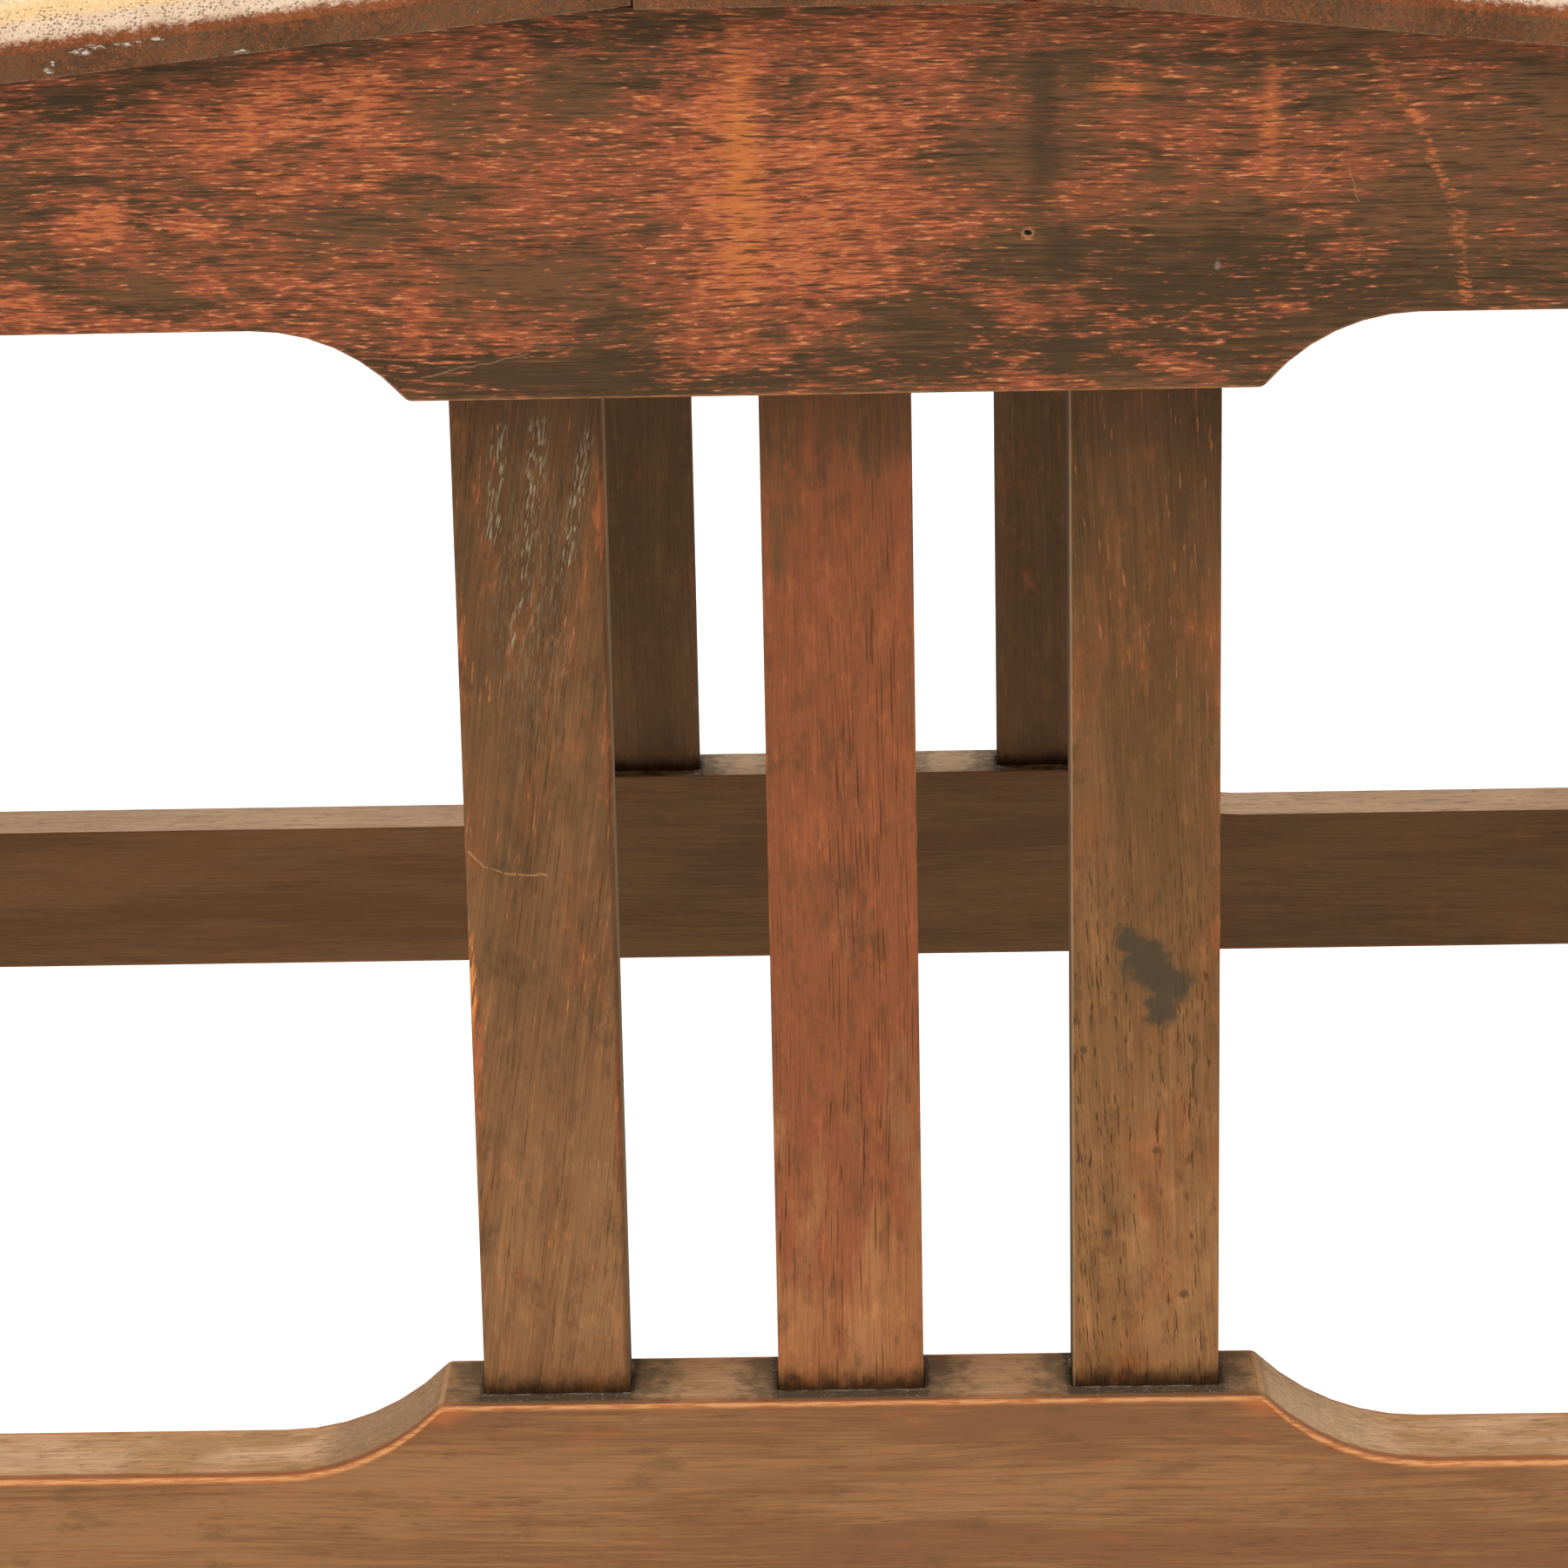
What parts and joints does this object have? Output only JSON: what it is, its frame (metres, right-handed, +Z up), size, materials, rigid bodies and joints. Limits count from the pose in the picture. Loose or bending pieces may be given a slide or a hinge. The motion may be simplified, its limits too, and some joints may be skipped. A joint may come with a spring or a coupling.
{
  "type": "window bench",
  "caption": "Backless oak window bench: dished board seat on square legs, with pendant aprons and raised stretchers joined by groups of flat slats.",
  "frame": {"origin": "on the floor, under the middle of the bench", "axes": "+X along the bench to the right as seen from the front, +Y from front to back, +Z up"},
  "size_m": [1.122, 0.4618, 0.4441],
  "materials": {
    "oak_frame": "worn dark stain, satin",
    "oak_seat": "worn, dry, satin",
    "oak_inner": "unfinished",
    "oak_pegs": "end grain, dark",
    "screw_steel": "aged"
  },
  "bodies": {
    "root": {"centre_bearer": "oak_inner", "cleat_screws": "screw_steel", "front_apron": "oak_frame", "front_left_seat_cleat": "oak_inner", "front_right_seat_cleat": "oak_inner", "front_slat_centre": "oak_frame", "front_slat_left": "oak_frame", "front_slat_right": "oak_frame", "front_stretcher": "oak_frame", "joint_pegs": "oak_pegs", "left_end_apron": "oak_frame", "left_end_seat_board": "oak_seat", "left_end_seat_cleat": "oak_inner", "left_end_slat_centre": "oak_frame", "left_end_slat_front": "oak_frame", "left_end_slat_rear": "oak_frame", "left_end_stretcher": "oak_frame", "left_seat_board_1": "oak_seat", "left_seat_board_2": "oak_seat", "left_seat_board_3": "oak_seat", "left_seat_board_4": "oak_seat", "leg_front_left": "oak_frame", "leg_front_right": "oak_frame", "leg_rear_left": "oak_frame", "leg_rear_right": "oak_frame", "middle_seat_board": "oak_seat", "rear_apron": "oak_frame", "rear_left_seat_cleat": "oak_inner", "rear_right_seat_cleat": "oak_inner", "rear_slat_centre": "oak_frame", "rear_slat_left": "oak_frame", "rear_slat_right": "oak_frame", "rear_stretcher": "oak_frame", "right_end_apron": "oak_frame", "right_end_seat_board": "oak_seat", "right_end_seat_cleat": "oak_inner", "right_end_slat_centre": "oak_frame", "right_end_slat_front": "oak_frame", "right_end_slat_rear": "oak_frame", "right_end_stretcher": "oak_frame", "right_seat_board_1": "oak_seat", "right_seat_board_2": "oak_seat", "right_seat_board_3": "oak_seat", "right_seat_board_4": "oak_seat", "seat_board_screws": "screw_steel"}
  },
  "joints": []
}
